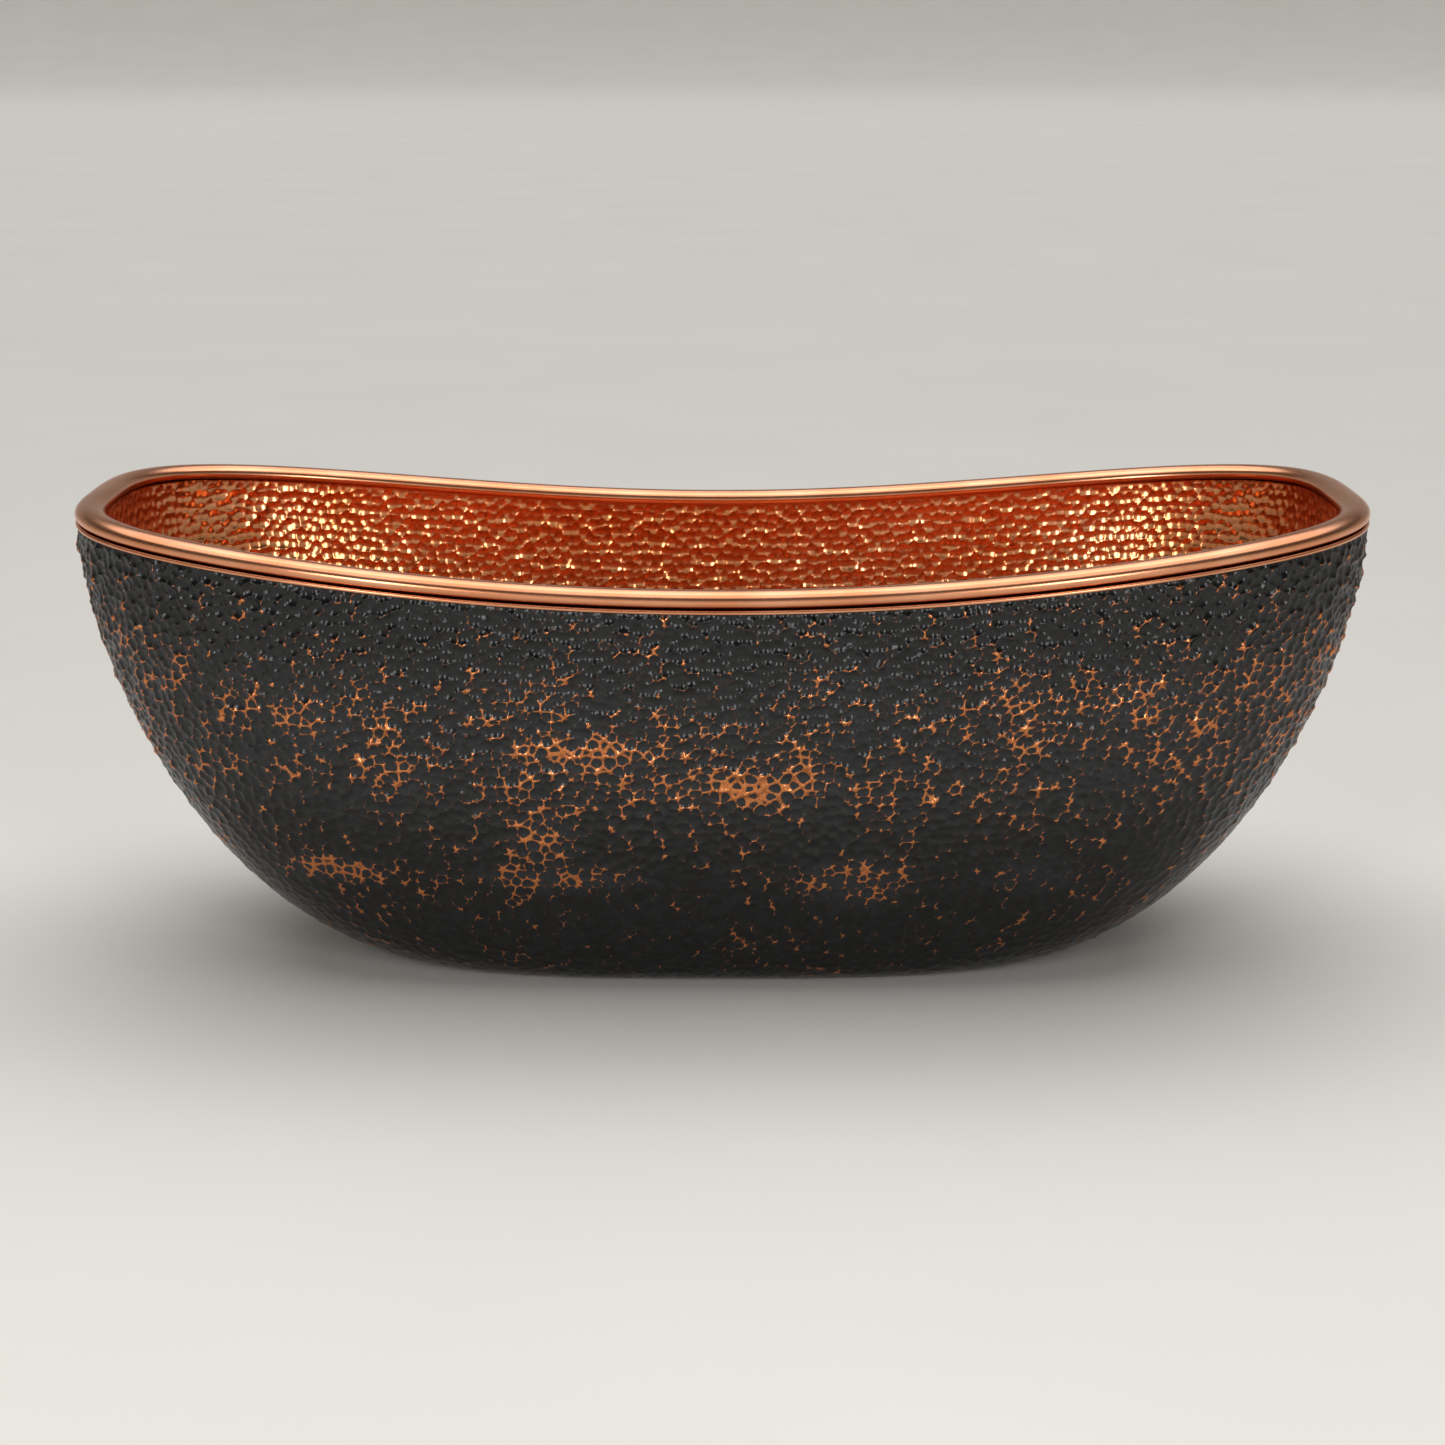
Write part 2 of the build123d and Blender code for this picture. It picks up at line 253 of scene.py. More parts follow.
def linear(hexColour):
    channels = [int(hexColour[i:i + 2], 16) / 255 for i in (1, 3, 5)]
    return [c / 12.92 if c <= 0.04045 else ((c + 0.055) / 1.055) ** 2.4 for c in channels] + [1.0]


def newMaterial(name):
    material = bpy.data.materials.new(name)
    material.use_nodes = True
    return material, material.node_tree, material.node_tree.nodes["Principled BSDF"]


def addNode(tree, kind, settings=None, links=None):
    # settings are properties, socket values or a ramp's stops, and links run into its sockets
    node = tree.nodes.new(kind)
    for key, value in (settings or {}).items():
        if key == "stops":
            for _ in value[2:]:
                node.color_ramp.elements.new(0.5)
            for element, (at, colour) in zip(node.color_ramp.elements, value):
                element.position = at
                element.color = linear(colour)
        elif isinstance(key, int) or key in node.inputs:
            node.inputs[key].default_value = value
        else:
            setattr(node, key, value)
    for key, source in (links or {}).items():
        tree.links.new(source, node.inputs[key])
    return node


# bands are sheets between two seams: name, heights as shares of the wall's, and mesh cell
outerWall = {
    "baseHalf": (0.460, 0.272),
    "baseHeight": 0.005,
    "inset": 0.0034,
    "drop": 0.0153,
    "powers": (1.68, 1.75),
    "faces": 1.0,
    "columns": 1700,
    "bands": [
        ("upper", (0.575, 1.0), 0.0026),
        ("lower", (0.265, 0.575), 0.0026),
        ("base", (0.0, 0.265), 0.0030),
    ],
}
outerMarks = {
    "rowGap": 0.0134,
    "blowGap": 0.0152,
    "stray": 0.40,
    "uneven": 38e-6,
    "ridgeRound": 0.0030,
    "reach": 0.0080,
    "depth": 0.0021,
    "seamDepth": 0.5,
}
# where the darkening was rubbed back to copper, and where the charcoal of the hollows is painted lighter as
# a sheen:
# middle x, share of the height, half length, half height, strength
rubbedFrontAndSheen = [
    (-0.19, 0.64, 0.13, 0.07, 1.0),
    (0.03, 0.56, 0.19, 0.06, 1.0),
    (-0.25, 0.76, 0.10, 0.10, 0.55),
    (0.15, 0.80, 0.08, 0.09, 0.5),
    (-0.55, 0.68, 0.08, 0.10, 0.85),
    (-0.44, 0.56, 0.10, 0.10, 0.55),
    (0.56, 0.72, 0.08, 0.08, 0.8),
    (0.64, 0.65, 0.08, 0.07, 0.65),
    (-0.54, 0.30, 0.08, 0.035, 0.9),
    (-0.24, 0.43, 0.05, 0.09, 0.75),
    (-0.22, 0.31, 0.11, 0.035, 0.85),
    (0.18, 0.30, 0.08, 0.07, 0.8),
    (0.42, 0.30, 0.08, 0.05, 0.45),
]


def rubbingAndShade(x, y, share):
    # how far the surface was rubbed back here: patches as listed, and the back is the front turned round
    # the same number lightens the charcoal of the hollows: painted shade and sheen, lighter in the middle
    # band and the patches, darker towards the rim and the base
    side = np.where(y < 0, 1.0, -1.0)
    along = x * side
    # a light rub all along the middle, which on the charcoal is also painted shade: lighter at mid-height,
    # darker towards the rim and the base
    total = 0.06 + 0.34 * soften(share, 0.40, 0.54) * (1 - soften(share, 0.72, 0.90))
    for middle, height, halfLength, halfHeight, strength in rubbedFrontAndSheen:
        fall = ((along - middle) / halfLength) ** 2 + ((share - height) / halfHeight) ** 2
        total = np.maximum(total, strength * np.exp(-fall ** 1.3))
    return total


def darkenedCopper():
    # copper sheet hammered, darkened with liver of sulphur, waxed, and rubbed with steel wool:
    # charcoal hollows with a low sheen, and orange-brown copper along the ridges
    material, tree, shader = newMaterial("darkenedCopper")
    place = addNode(tree, "ShaderNodeTexCoord").outputs["Object"]
    ridge = addNode(tree, "ShaderNodeAttribute", {"attribute_name": "ridge"}).outputs["Fac"]
    border = addNode(tree, "ShaderNodeAttribute", {"attribute_name": "border"}).outputs["Fac"]
    # how far the copper was rubbed back, which also carries the painted shade and sheen of the charcoal
    rubbed = addNode(tree, "ShaderNodeAttribute", {"attribute_name": "rubbed"}).outputs["Fac"]
    broad = addNode(tree, "ShaderNodeTexNoise", {"Scale": 1 / 0.11, "Detail": 3.0}, {"Vector": place})
    fine = addNode(tree, "ShaderNodeTexNoise", {"Scale": 1 / 0.012, "Detail": 4.0, "Roughness": 0.6},
                   {"Vector": place})
    middling = addNode(tree, "ShaderNodeTexNoise", {"Scale": 1 / 0.034, "Detail": 2.0}, {"Vector": place})
    tooth = addNode(tree, "ShaderNodeTexNoise", {"Scale": 1 / 0.0022, "Detail": 3.0}, {"Vector": place})
    # how wide the bare line along each ridge is, in mm: wide where rubbed, and only at the peaks elsewhere
    uneven = addNode(tree, "ShaderNodeMath", {"operation": "MULTIPLY_ADD", 1: 3.0, 2: -4.1},
                     {0: broad.outputs["Fac"]})
    broken = addNode(tree, "ShaderNodeMath", {"operation": "MULTIPLY_ADD", 1: 4.2},
                     {0: middling.outputs["Fac"], 2: uneven.outputs[0]})
    patch = addNode(tree, "ShaderNodeMath", {"operation": "MULTIPLY_ADD", 1: 2.6},
                    {0: rubbed, 2: broken.outputs[0]})
    peaks = addNode(tree, "ShaderNodeMath", {"operation": "MULTIPLY_ADD", 1: 1.5, 2: -1.5}, {0: ridge})
    width = addNode(tree, "ShaderNodeMath", {"operation": "ADD"},
                    {0: patch.outputs[0], 1: peaks.outputs[0]})
    ragged = addNode(tree, "ShaderNodeMath", {"operation": "MULTIPLY_ADD", 1: 1.6},
                     {0: fine.outputs["Fac"], 2: width.outputs[0]})
    inside = addNode(tree, "ShaderNodeMath", {"operation": "SUBTRACT"}, {0: ragged.outputs[0], 1: border})
    bareEdge = {"From Min": 0.55, "From Max": 1.25, "interpolation_type": "SMOOTHSTEP"}
    bare = addNode(tree, "ShaderNodeMapRange", bareEdge, {"Value": inside.outputs[0]})
    warmEdge = {"From Min": -0.4, "From Max": 0.9, "interpolation_type": "SMOOTHSTEP"}
    warm = addNode(tree, "ShaderNodeMapRange", warmEdge, {"Value": inside.outputs[0]})
    # painted shade and sheen: the charcoal is lighter in the middle band and the rubbed patches, darker
    # towards the rim and the base; the fine noise adds a random tone
    paintedShadeAndTone = addNode(tree, "ShaderNodeMath", {"operation": "MULTIPLY_ADD", 1: 0.55},
                   {0: rubbed, 2: fine.outputs["Fac"]})
    charcoal = addNode(tree, "ShaderNodeValToRGB", {"stops": [(0.45, "#020202"), (0.95, "#1f2124")]},
                       {"Fac": paintedShadeAndTone.outputs[0]})
    brown = addNode(tree, "ShaderNodeMix", {"data_type": "RGBA", 7: linear("#3a2012")},
                    {0: warm.outputs[0], 6: charcoal.outputs[0]})
    copper = addNode(tree, "ShaderNodeValToRGB", {"stops": [(0.35, "#b9693a"), (0.7, "#dc9462")]},
                     {"Fac": tooth.outputs["Fac"]})
    skin = addNode(tree, "ShaderNodeMix", {"data_type": "RGBA"},
                   {0: bare.outputs[0], 6: brown.outputs[2], 7: copper.outputs[0]})
    gloss = addNode(tree, "ShaderNodeMapRange", {"To Min": 0.17, "To Max": 0.30},
                    {"Value": fine.outputs["Fac"]})
    bump = addNode(tree, "ShaderNodeBump", {"Strength": 0.25, "Distance": 0.0004},
                   {"Height": tooth.outputs["Fac"]})
    tree.links.new(skin.outputs[2], shader.inputs["Base Color"])
    shader.inputs["Specular IOR Level"].default_value = 0.42
    tree.links.new(bare.outputs[0], shader.inputs["Metallic"])
    tree.links.new(gloss.outputs[0], shader.inputs["Roughness"])
    tree.links.new(bump.outputs[0], shader.inputs["Normal"])
    return material


def outerPanel(name, rows, walked, share, turns, heights, spacing, material, nodes):
    low, high = [np.interp(h, share, walked) for h in heights]
    steps = int((high - low) / spacing / coarse)
    mesh, u, v = gridMesh(name, int(outerWall["columns"] * (turns[1] - turns[0]) / coarse), steps)
    turn = turns[0] + (turns[1] - turns[0]) * u
    height = low + (high - low) * v
    angle, at = evenAngles(turn % 1.0), np.interp(height, walked, share)
    points, normals = wallPoint(outerWall, angle, at), wallNormal(outerWall, angle, at)
    blend, slope, border = strikeWall(rows, outerMarks, turn % 1.0, height, points)
    seam = np.minimum(np.abs(height - low), np.abs(high - height))
    depth = outerMarks["depth"] * (0.30 + 0.70 * soften(at, 0.25, 0.62) + 0.20 * soften(at, 0.7, 0.9))
    depth *= outerMarks["seamDepth"] + (1 - outerMarks["seamDepth"]) * soften(seam, 0, 0.004)
    pressed, turned, ridge = press(points, normals, blend, slope, depth, outerMarks)
    place(mesh, pressed, turned)
    note(mesh, "ridge", ridge)
    note(mesh, "border", border * 1000)
    # a number that rubs the copper bare along the ridges and paints shade and sheen onto the charcoal
    note(mesh, "rubbed", rubbingAndShade(points[:, 0], points[:, 1], at))
    addPiece(name, mesh, material, "outer_patinated_copper", *nodes)


base = {
    "low": 0.005,
    "thick": 0.002,
    "footHole": 0.030,
    "footPlace": (0.38, 0.15),
    "access": (0.170, 0.130),
}


def baseUnderside(material):
    # the flat of the base, with holes for the feet and a way in to the waste
    bm = bmesh.new()
    outline = bmesh.ops.create_circle(bm, segments=300, radius=1.0)["verts"]
    for vertex in outline:
        across, along = planLine(np.arctan2(vertex.co.y, vertex.co.x))
        vertex.co = (outerWall["baseHalf"][0] * across, outerWall["baseHalf"][1] * along, 0.0)
    for x in (-base["footPlace"][0], base["footPlace"][0]):
        for y in (-base["footPlace"][1], base["footPlace"][1]):
            hole = bmesh.ops.create_circle(bm, segments=48, radius=base["footHole"])["verts"]
            bmesh.ops.translate(bm, verts=hole, vec=(x, y, 0.0))
    opening = bmesh.ops.create_grid(bm, x_segments=1, y_segments=1, size=0.5)["verts"]
    bmesh.ops.scale(bm, verts=opening, vec=(*base["access"], 1.0))
    bmesh.ops.delete(bm, geom=bm.faces[:], context="FACES_ONLY")
    bmesh.ops.triangle_fill(bm, edges=bm.edges[:], use_beauty=True)
    lifted = bmesh.ops.extrude_face_region(bm, geom=bm.faces[:])["geom"]
    raised = [part for part in lifted if isinstance(part, bmesh.types.BMVert)]
    bmesh.ops.translate(bm, verts=raised, vec=(0.0, 0.0, base["thick"]))
    bmesh.ops.translate(bm, verts=bm.verts, vec=(0.0, 0.0, base["low"]))
    bmesh.ops.recalc_face_normals(bm, faces=bm.faces)
    mesh = bpy.data.meshes.new("baseUnderside")
    bm.to_mesh(mesh)
    bm.free()
    addPiece("baseUnderside", mesh, material, "outer_patinated_copper", "base_bowl")


def outerSkin():
    rows = hammerWall(outerWall, outerMarks, 3)
    share, walked = climb(outerWall)
    material = darkenedCopper()
    for band, heights, spacing in outerWall["bands"]:
        for i in range(4):
            turns = (i / 4, (i + 1) / 4)
            side = "back" if i < 2 else "front"
            nodes = ["base_bowl"] if band == "base" else [f"{band}_{side}_skin"]
            name = f"{band}Skin{side}{i}"
            outerPanel(name, rows, walked, share, turns, heights, spacing, material, nodes)
    baseUnderside(material)
    print("outer skin:", len(outerWall["bands"]), "bands of hammered sheet")


basinWall = {
    "baseHalf": (0.4280, 0.2280),
    "baseHeight": 0.100,
    "inset": 0.0374,
    "drop": 0.0082,
    "powers": (1.72, 1.85),
    "faces": -1.0,
    "wasteHole": 0.028,
    "columns": 1360,
    "cell": 0.0032,
}
basinMarks = {
    "rowGap": 0.0146,
    "blowGap": 0.0162,
    "stray": 0.27,
    "uneven": 22e-6,
    "ridgeRound": 0.0040,
    "reach": 0.0088,
    "depth": 0.00095,
}


def hammeredCopper():
    # bare copper, hammered and buffed: a soft mirror with a warm orange depth, darker along the lines where
    # the marks meet
    material, tree, shader = newMaterial("hammeredCopper")
    place = addNode(tree, "ShaderNodeTexCoord").outputs["Object"]
    border = addNode(tree, "ShaderNodeAttribute", {"attribute_name": "border"}).outputs["Fac"]
    broad = addNode(tree, "ShaderNodeTexNoise", {"Scale": 1 / 0.16, "Detail": 4.0}, {"Vector": place})
    fine = addNode(tree, "ShaderNodeTexNoise", {"Scale": 1 / 0.0045, "Detail": 4.0}, {"Vector": place})
    tone = addNode(tree, "ShaderNodeValToRGB", {"stops": [(0.3, "#d98954"), (0.7, "#eaa274")]},
                   {"Fac": broad.outputs["Fac"]})
    line = addNode(tree, "ShaderNodeMapRange", {"From Max": 2.2, "To Min": 0.55, "To Max": 0.0},
                   {"Value": border})
    skin = addNode(tree, "ShaderNodeMix", {"data_type": "RGBA", 7: linear("#a8562c")},
                   {0: line.outputs[0], 6: tone.outputs[0]})
    gloss = addNode(tree, "ShaderNodeMapRange", {"To Min": 0.11, "To Max": 0.20},
                    {"Value": fine.outputs["Fac"]})
    bump = addNode(tree, "ShaderNodeBump", {"Strength": 0.12, "Distance": 0.0004},
                   {"Height": fine.outputs["Fac"]})
    tree.links.new(skin.outputs[2], shader.inputs["Base Color"])
    shader.inputs["Metallic"].default_value = 1.0
    tree.links.new(gloss.outputs[0], shader.inputs["Roughness"])
    tree.links.new(bump.outputs[0], shader.inputs["Normal"])
    return material


def basinPanel(name, rows, walked, share, turns, material, nodes):
    steps = int(walked[-1] / basinWall["cell"] / coarse)
    mesh, u, v = gridMesh(name, int(basinWall["columns"] * (turns[1] - turns[0]) / coarse), steps)
    turn = turns[1] - (turns[1] - turns[0]) * u  # clockwise, so that the faces look inwards
    height = walked[-1] * v
    angle, at = evenAngles(turn % 1.0), np.interp(height, walked, share)
    points, normals = wallPoint(basinWall, angle, at), wallNormal(basinWall, angle, at)
    blend, slope, border = strikeWall(rows, basinMarks, turn % 1.0, height, points)
    depth = basinMarks["depth"] * soften(height, -0.002, 0.010)
    pressed, turned, _ = press(points, normals, blend, slope, depth, basinMarks)
    place(mesh, pressed, turned)
    note(mesh, "border", border * 1000)
    addPiece(name, mesh, material, "basin_hammered_copper", *nodes)


def basinFloor(material):
    half = basinWall["baseHalf"]
    columns, steps = [int(2 * h / basinWall["cell"] / coarse) for h in half]
    mesh, u, v = gridMesh("basinFloor", columns, steps)
    p, q = 2 * u - 1, 2 * v - 1
    out = np.maximum(np.abs(p), np.abs(q))
    across, along = planLine(np.arctan2(q, p))
    level = np.full(len(p), basinWall["baseHeight"])
    flat = np.stack([half[0] * across * out, half[1] * along * out, level], axis=-1)
    mesh.vertices.foreach_set("co", flat.ravel())
    bm = bmesh.new()
    bm.from_mesh(mesh)
    middle = [face for face in bm.faces if face.calc_center_median().xy.length < basinWall["wasteHole"]]
    bmesh.ops.delete(bm, geom=middle, context="FACES")
    bm.to_mesh(mesh)
    bm.free()
    points = np.zeros(len(mesh.vertices) * 3)
    mesh.vertices.foreach_get("co", points)
    points = points.reshape(-1, 3)
    power = tub["planPower"]
    out = (np.abs(points[:, 0] / half[0]) ** power + np.abs(points[:, 1] / half[1]) ** power) ** (1 / power)
    normals = np.tile([0.0, 0.0, 1.0], (len(points), 1))
    blend, slope, border = strikeFloor(hammerFloor(half, basinMarks, 5), basinMarks, points)
    depth = basinMarks["depth"] * soften((1 - out) * half[1], -0.002, 0.010)
    depth *= soften(np.hypot(points[:, 0], points[:, 1]), 0.034, 0.046)  # flat under the waste's flange
    pressed, turned, _ = press(points, normals, blend, slope, depth, basinMarks)
    place(mesh, pressed, turned)
    note(mesh, "border", border * 1000)
    addPiece("basinFloor", mesh, material, "basin_hammered_copper", "basin_floor")


def basin():
    rows = hammerWall(basinWall, basinMarks, 4)
    share, walked = climb(basinWall)
    material = hammeredCopper()
    for i, nodes in enumerate((["basin_right_end", "basin_back"], ["basin_back", "basin_left_end"],
                               ["basin_left_end", "basin_front"], ["basin_front", "basin_right_end"])):
        basinPanel(f"basinWall{i}", rows, walked, share, (i / 4, (i + 1) / 4), material, nodes)
    basinFloor(material)
    print("basin: four walls and a floor")


rim = {
    "rollHalf": (0.021, 0.0130),
    "beadRadius": 0.0030,
    "beadInset": 0.0042,
    "beadDrop": 0.0142,
    "around": 4.45,
    "rollGirth": 0.108,
    "columns": 1200,
}


def polishedCopper():
    # rolled copper, polished along its length: long faint lines, bright and slightly satin
    material, tree, shader = newMaterial("polishedCopper")
    lay = addNode(tree, "ShaderNodeUVMap", {"uv_map": "lay"}).outputs[0]
    stretch = addNode(tree, "ShaderNodeMapping", {"Scale": (14.0, 1600.0, 1.0)}, {"Vector": lay})
    lines = addNode(tree, "ShaderNodeTexNoise", {"Scale": 1.0, "Detail": 4.0},
                    {"Vector": stretch.outputs[0]})
    place = addNode(tree, "ShaderNodeTexCoord").outputs["Object"]
    broad = addNode(tree, "ShaderNodeTexNoise", {"Scale": 1 / 0.09, "Detail": 3.0}, {"Vector": place})
    tone = addNode(tree, "ShaderNodeValToRGB", {"stops": [(0.3, "#d98f66"), (0.7, "#e9a680")]},
                   {"Fac": broad.outputs["Fac"]})
    gloss = addNode(tree, "ShaderNodeMapRange", {"To Min": 0.17, "To Max": 0.30},
                    {"Value": lines.outputs["Fac"]})
    bump = addNode(tree, "ShaderNodeBump", {"Strength": 0.10, "Distance": 0.0002},
                   {"Height": lines.outputs["Fac"]})
    tree.links.new(tone.outputs[0], shader.inputs["Base Color"])
    shader.inputs["Metallic"].default_value = 1.0
    tree.links.new(gloss.outputs[0], shader.inputs["Roughness"])
    tree.links.new(bump.outputs[0], shader.inputs["Normal"])
    return material


def rimRing(name, inset, drop, half, rows, material, node):
    mesh, u, v = gridMesh(name, int(rim["columns"] / coarse), rows)
    angle = evenAngles(u % 1.0)
    a, b = tub["halfLength"] - inset, tub["halfWidth"] - inset

    def line(at):
        across, along = planLine(at)
        return np.stack([a * across, b * along, rimRise(a * across) - drop], axis=-1)

    centre = line(angle)
    ahead = line(angle + nudge) - line(angle - nudge)
    ahead /= np.linalg.norm(ahead, axis=1, keepdims=True)
    out = np.cross(ahead, [0.0, 0.0, 1.0])
    out /= np.linalg.norm(out, axis=1, keepdims=True)
    up = np.cross(out, ahead)
    turn = 2 * pi * v
    offset = out * (half[0] * np.cos(turn))[:, None] + up * (half[1] * np.sin(turn))[:, None]
    place(mesh, centre + offset)
    lay(mesh, u * rim["around"], v * rim["rollGirth"])
    bm = bmesh.new()
    bm.from_mesh(mesh)
    bmesh.ops.remove_doubles(bm, verts=bm.verts, dist=1e-6)
    bmesh.ops.recalc_face_normals(bm, faces=bm.faces)
    bm.to_mesh(mesh)
    bm.free()
    addPiece(name, mesh, material, "polished_copper", node)


def rimPieces():
    material = polishedCopper()
    rimRing("rimRoll", rim["rollHalf"][0], 0.0, rim["rollHalf"], 32, material, "rim_roll")
    beadHalf = (rim["beadRadius"], rim["beadRadius"])
    rimRing("rimBead", rim["beadInset"], rim["beadDrop"], beadHalf, 12, material, "rim_bead")
    print("rim: roll and bead")


def galvanisedSteel():
    # hot-dip galvanised steel: dull grey zinc with a faint spangle of crystals
    material, tree, shader = newMaterial("galvanisedSteel")
    place = addNode(tree, "ShaderNodeTexCoord").outputs["Object"]
    crystals = addNode(tree, "ShaderNodeTexVoronoi", {"Scale": 1 / 0.011}, {"Vector": place})
    cloud = addNode(tree, "ShaderNodeTexNoise", {"Scale": 1 / 0.05, "Detail": 4.0}, {"Vector": place})
    tone = addNode(tree, "ShaderNodeMix", {"data_type": "RGBA", 0: 0.25, 6: linear("#9da3a6")},
                   {7: crystals.outputs["Color"]})
    grey = addNode(tree, "ShaderNodeHueSaturation", {"Saturation": 0.06}, {"Color": tone.outputs[2]})
    gloss = addNode(tree, "ShaderNodeMapRange", {"To Min": 0.34, "To Max": 0.56},
                    {"Value": cloud.outputs["Fac"]})
    tree.links.new(grey.outputs[0], shader.inputs["Base Color"])
    tree.links.new(gloss.outputs[0], shader.inputs["Roughness"])
    shader.inputs["Metallic"].default_value = 0.9
    return material


def zincPlatedSteel():
    # bright zinc plate on turned steel: cool grey with a trace of yellow passivation
    material, tree, shader = newMaterial("zincPlatedSteel")
    place = addNode(tree, "ShaderNodeTexCoord").outputs["Object"]
    turned = addNode(tree, "ShaderNodeMapping", {"Scale": (20.0, 20.0, 900.0)}, {"Vector": place})
    lines = addNode(tree, "ShaderNodeTexNoise", {"Scale": 1.0, "Detail": 3.0},
                    {"Vector": turned.outputs[0]})
    tone = addNode(tree, "ShaderNodeValToRGB", {"stops": [(0.3, "#b3b5ae"), (0.7, "#c9c7b6")]},
                   {"Fac": lines.outputs["Fac"]})
    gloss = addNode(tree, "ShaderNodeMapRange", {"To Min": 0.2, "To Max": 0.4},
                    {"Value": lines.outputs["Fac"]})
    tree.links.new(tone.outputs[0], shader.inputs["Base Color"])
    tree.links.new(gloss.outputs[0], shader.inputs["Roughness"])
    shader.inputs["Metallic"].default_value = 1.0
    return material


def platedBrass():
    # cast brass plated with copper and lacquered: even, satin, a little mottled
    material, tree, shader = newMaterial("platedBrass")
    place = addNode(tree, "ShaderNodeTexCoord").outputs["Object"]
    cloud = addNode(tree, "ShaderNodeTexNoise", {"Scale": 1 / 0.014, "Detail": 4.0}, {"Vector": place})
    tone = addNode(tree, "ShaderNodeValToRGB", {"stops": [(0.3, "#c98356"), (0.7, "#dd9c70")]},
                   {"Fac": cloud.outputs["Fac"]})
    gloss = addNode(tree, "ShaderNodeMapRange", {"To Min": 0.2, "To Max": 0.34},
                    {"Value": cloud.outputs["Fac"]})
    tree.links.new(tone.outputs[0], shader.inputs["Base Color"])
    tree.links.new(gloss.outputs[0], shader.inputs["Roughness"])
    shader.inputs["Metallic"].default_value = 1.0
    return material


def mouldedRubber():
    # black moulded rubber: matte, with a fine bloom
    material, tree, shader = newMaterial("mouldedRubber")
    place = addNode(tree, "ShaderNodeTexCoord").outputs["Object"]
    bloom = addNode(tree, "ShaderNodeTexNoise", {"Scale": 1 / 0.006, "Detail": 5.0}, {"Vector": place})
    tone = addNode(tree, "ShaderNodeValToRGB", {"stops": [(0.3, "#151515"), (0.75, "#262524")]},
                   {"Fac": bloom.outputs["Fac"]})
    gloss = addNode(tree, "ShaderNodeMapRange", {"To Min": 0.65, "To Max": 0.85},
                    {"Value": bloom.outputs["Fac"]})
    tree.links.new(tone.outputs[0], shader.inputs["Base Color"])
    tree.links.new(gloss.outputs[0], shader.inputs["Roughness"])
    shader.inputs["IOR"].default_value = 1.52
    return material


def mouldedNylon():
    # black nylon foot, injection moulded: a fine grain under a low sheen
    material, tree, shader = newMaterial("mouldedNylon")
    place = addNode(tree, "ShaderNodeTexCoord").outputs["Object"]
    grain = addNode(tree, "ShaderNodeTexNoise", {"Scale": 1 / 0.0016, "Detail": 3.0}, {"Vector": place})
    tone = addNode(tree, "ShaderNodeValToRGB", {"stops": [(0.3, "#1b1c1d"), (0.7, "#252627")]},
                   {"Fac": grain.outputs["Fac"]})
    bump = addNode(tree, "ShaderNodeBump", {"Strength": 0.3, "Distance": 0.0002},
                   {"Height": grain.outputs["Fac"]})
    tree.links.new(tone.outputs[0], shader.inputs["Base Color"])
    tree.links.new(bump.outputs[0], shader.inputs["Normal"])
    shader.inputs["Roughness"].default_value = 0.5
    shader.inputs["IOR"].default_value = 1.53
    return material


def finishCadNodes():
    finishes = {
        "galvanised_steel": galvanisedSteel(),
        "zinc_plated_steel": zincPlatedSteel(),
        "spring_steel": zincPlatedSteel(),
        "drain_brass": platedBrass(),
        "black_rubber": mouldedRubber(),
        "black_nylon": mouldedNylon(),
    }
    done = 0
    for part in frame["record"]["subparts"]:
        finish = finishes.get(part["material_slot"])
        if finish:
            node = frame["nodes"][part["node"]]
            node.data.materials.clear()
            node.data.materials.append(finish)
            done += 1
    print("frame, feet and waste:", done, "CAD nodes finished")


studio = {
    "floorRadius": 50.0,
    "bend": 17.0,
    "wallTop": 24.0,
    "camera": (0.0, -4.0, 1.317),
    "pitch": radians(14.19),
    "lens": 69.7,
}


def paleFloor():
    # seamless pale card: matte, barely warm
    material, tree, shader = newMaterial("paleCard")
    place = addNode(tree, "ShaderNodeTexCoord").outputs["Object"]
    cloud = addNode(tree, "ShaderNodeTexNoise", {"Scale": 1.2, "Detail": 2.0}, {"Vector": place})
    tone = addNode(tree, "ShaderNodeValToRGB", {"stops": [(0.3, "#e9e6e0"), (0.7, "#ece9e4")]},
                   {"Fac": cloud.outputs["Fac"]})
    tree.links.new(tone.outputs[0], shader.inputs["Base Color"])
    shader.inputs["Roughness"].default_value = 0.9
    return material


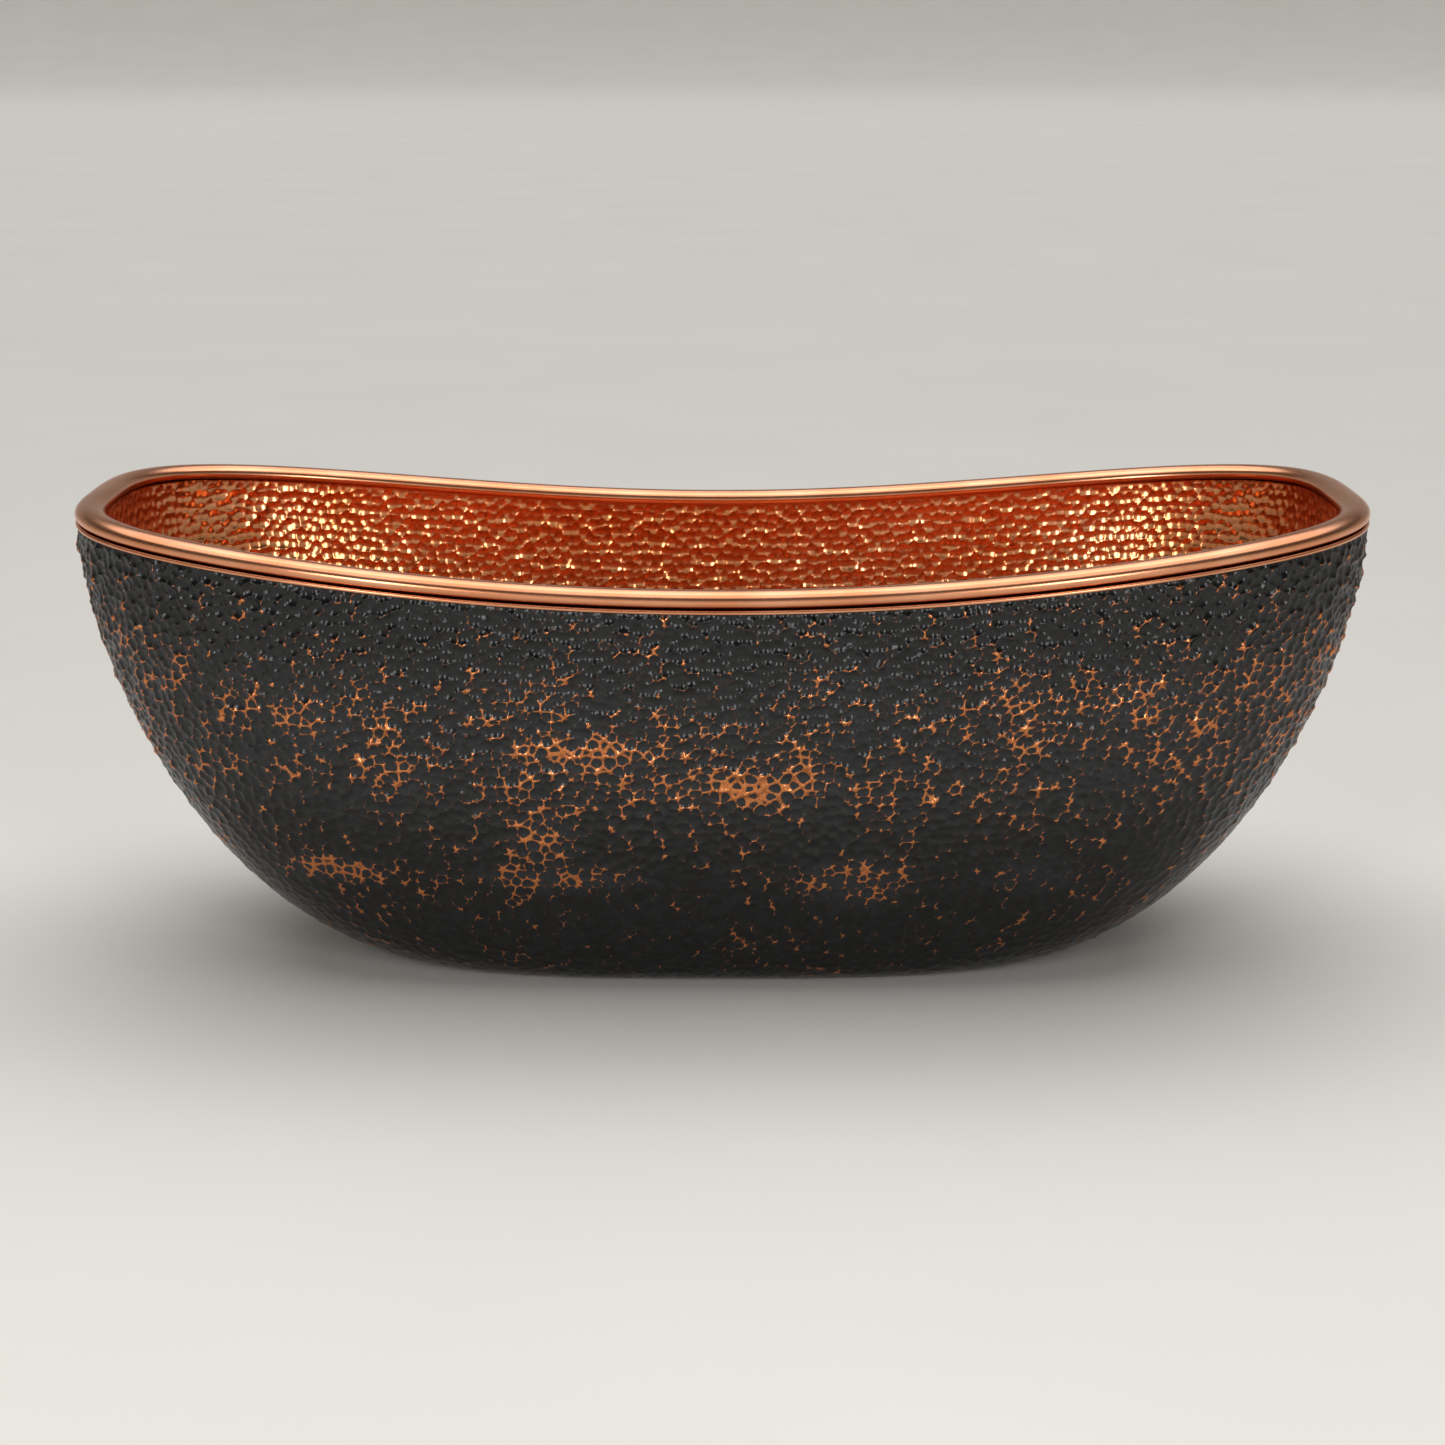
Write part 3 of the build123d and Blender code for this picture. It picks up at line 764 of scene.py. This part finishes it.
def sweep():
    # a round floor that curves up into a wall all the way round
    mesh, u, v = gridMesh("sweep", 96, 64)
    bend, flat = studio["bend"], studio["floorRadius"]
    quarter = bend * pi / 2
    walked = v * (flat + quarter + studio["wallTop"] - bend)
    curl = np.clip((walked - flat) / bend, 0, pi / 2)
    radius = np.minimum(walked, flat) + bend * np.sin(curl)
    z = bend * (1 - np.cos(curl)) + np.maximum(walked - flat - quarter, 0)
    place(mesh, np.stack([radius * np.cos(2 * pi * u), -radius * np.sin(2 * pi * u), z], axis=-1))
    card = bpy.data.objects.new("sweep", mesh)
    bpy.context.scene.collection.objects.link(card)
    mesh.materials.append(paleFloor())


def softbox(name, place, aim, size, power):
    light = bpy.data.lights.new(name, "AREA")
    light.shape = "RECTANGLE"
    light.size, light.size_y = size
    light.energy = power
    box = bpy.data.objects.new(name, light)
    box.location = place
    box.visible_camera = False
    box.rotation_euler = (Vector(aim) - Vector(place)).to_track_quat("-Z", "Y").to_euler()
    bpy.context.scene.collection.objects.link(box)


def light():
    # a wide box above, two tall ones in front for the streaks on the metal, and a soft sky
    softbox("topBox", (0.0, 0.9, 3.2), (0.0, 0.0, 0.3), (3.0, 1.2), 12)
    softbox("leftBox", (-1.75, -4.2, 1.7), (0.0, 0.0, 0.5), (0.7, 1.7), 36)
    softbox("rightBox", (1.75, -4.2, 1.7), (0.0, 0.0, 0.5), (0.7, 1.7), 36)
    overhead = bpy.data.lights.new("overhead", "SUN")
    overhead.energy = 1.9
    overhead.angle = radians(80)
    skylight = bpy.data.objects.new("overhead", overhead)
    skylight.rotation_euler = (radians(-16), 0.0, 0.0)
    bpy.context.scene.collection.objects.link(skylight)
    world = bpy.data.worlds.new("studio")
    world.use_nodes = True
    world.node_tree.nodes["Background"].inputs["Color"].default_value = linear("#f4f2ee")
    world.node_tree.nodes["Background"].inputs["Strength"].default_value = 0.12
    bpy.context.scene.world = world


def camera():
    data = bpy.data.cameras.new("camera")
    data.lens = studio["lens"]
    data.sensor_width = 36.0
    view = bpy.data.objects.new("camera", data)
    view.location = studio["camera"]
    view.rotation_euler = (pi / 2 - studio["pitch"], 0.0, 0.0)
    bpy.context.scene.collection.objects.link(view)
    bpy.context.scene.camera = view


outerSkin()
basin()
rimPieces()
finishCadNodes()
sweep()
light()
camera()
bpy.context.scene.view_settings.view_transform = "Standard"
